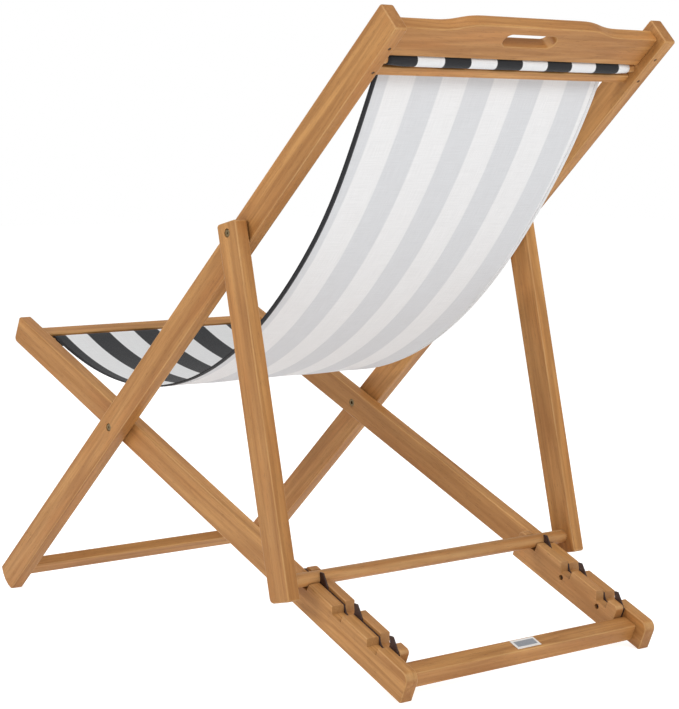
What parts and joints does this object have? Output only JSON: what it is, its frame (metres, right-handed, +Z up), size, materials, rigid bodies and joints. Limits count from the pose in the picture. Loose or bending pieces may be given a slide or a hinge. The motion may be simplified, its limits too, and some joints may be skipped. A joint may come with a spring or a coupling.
{
  "type": "folding sling deck chair",
  "caption": "Wooden folding deck chair: crossed seat and back frames on a scissor pivot, prop frame resting in a hooked rack, striped fabric sling hung between two rods.",
  "frame": {"origin": "on the floor under the middle of the chair's bounding box", "axes": "+Z up, the sitter faces -Y, +X is the sitter's left, scissor pivot axis along X"},
  "size_m": [0.5996, 1.0158, 0.9378],
  "materials": {
    "wood": "oiled honey-coloured hardwood, satin",
    "fabric": "woven, dark and white stripes printed on one side",
    "dark_metal": "dark bronze, satin",
    "steel": "zinc-plated, satin",
    "label": "blank silvery plate with a pale border"
  },
  "bodies": {
    "seat_frame": {"seat_rail_left": "wood", "seat_rail_right": "wood", "seat_front_bar": "wood", "rear_foot_bar": "wood", "sling_front_rod": "wood", "rack_strip_left": "wood", "rack_strip_right": "wood", "rack_hook_plate_left": "dark_metal", "rack_hook_plate_right": "dark_metal", "rack_screw_front_left": "dark_metal", "rack_screw_front_right": "dark_metal", "rack_screw_rear_left": "dark_metal", "rack_screw_rear_right": "dark_metal", "label_plate": "label", "scissor_nut_left": "steel", "scissor_nut_right": "steel", "scissor_washer_left": "steel", "scissor_washer_right": "steel", "sling": "fabric"},
    "back_frame": {"back_rail_left": "wood", "back_rail_right": "wood", "rail_pin_upper_left": "dark_metal", "rail_pin_upper_right": "dark_metal", "rail_pin_lower_left": "dark_metal", "rail_pin_lower_right": "dark_metal", "head_rail": "wood", "sling_guide_rail": "wood", "front_foot_bar": "wood", "sling_top_rod": "wood", "scissor_bolt_left": "steel", "scissor_bolt_right": "steel", "prop_nut_left": "steel", "prop_nut_right": "steel", "prop_washer_left": "steel", "prop_washer_right": "steel"},
    "prop_frame": {"prop_leg_left": "wood", "prop_leg_right": "wood", "prop_dowel": "wood", "prop_bolt_left": "steel", "prop_bolt_right": "steel"}
  },
  "joints": [
    {"name": "fold", "type": "hinge", "parent": "seat_frame", "child": "back_frame", "pos_m": [0, -0.17385, 0.309], "axis": [1, 0, 0], "range_deg": [0, 108], "deforming": ["sling"]},
    {"name": "prop_swing", "type": "hinge", "parent": "back_frame", "child": "prop_frame", "pos_m": [0, 0.17232, 0.6281], "axis": [1, 0, 0], "range_deg": [-55.3, 0]}
  ],
  "couplings": [
    {"joint": "prop_swing", "follows": "fold", "ratio": -0.512}
  ]
}
